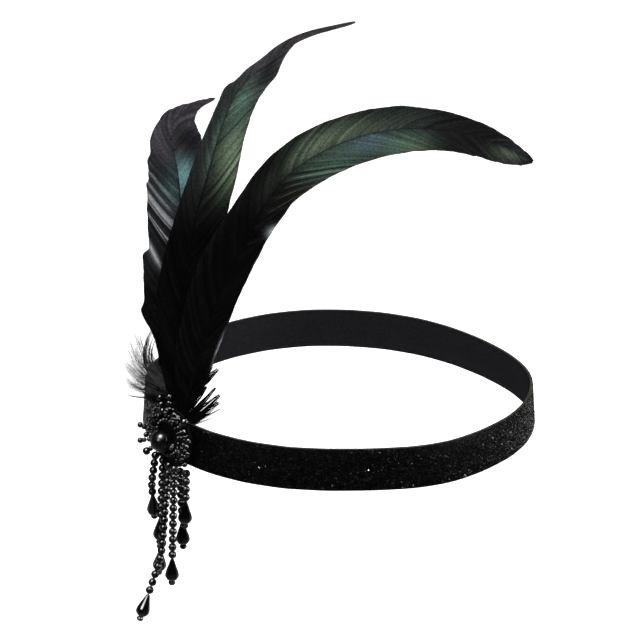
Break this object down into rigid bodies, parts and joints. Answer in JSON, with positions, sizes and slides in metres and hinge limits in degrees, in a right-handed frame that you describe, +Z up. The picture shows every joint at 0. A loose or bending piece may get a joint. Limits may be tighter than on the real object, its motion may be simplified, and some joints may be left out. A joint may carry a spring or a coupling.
{
  "type": "flapper headband",
  "caption": "Black glitter ribbon headband with a beaded brooch over the temple, swept cock feathers rising behind the brooch and a tassel of bead strands ending in teardrops.",
  "frame": {"origin": "middle of the head loop, halfway up the band", "axes": "+Z up the wearer's head towards the feather tips, -X the way the wearer faces, -Y the wearer's left, the side with the brooch"},
  "size_m": [0.1877, 0.1607, 0.2785],
  "materials": {
    "ribbon": "glitter outside, plain weave inside",
    "felt": "felted",
    "feather": "iridescent green and purple on black",
    "jet_beads": "polished",
    "dark_pearl": "pearl lustre"
  },
  "bodies": {
    "root": {"band": "ribbon", "feather_left": "feather", "feather_middle": "feather", "feather_right": "feather", "rosette_pad": "felt", "bead_rosette": "jet_beads", "pearl": "dark_pearl", "tassel_strand_1": "jet_beads", "tassel_strand_2": "jet_beads", "tassel_strand_3": "jet_beads", "tassel_strand_4": "jet_beads", "tassel_strand_5": "jet_beads", "tassel_strand_6": "jet_beads", "tassel_strand_7": "jet_beads", "drop_1": "jet_beads", "drop_2": "jet_beads", "drop_3": "jet_beads", "drop_4": "jet_beads", "drop_5": "jet_beads", "drop_6": "jet_beads", "drop_7": "jet_beads"}
  },
  "joints": []
}
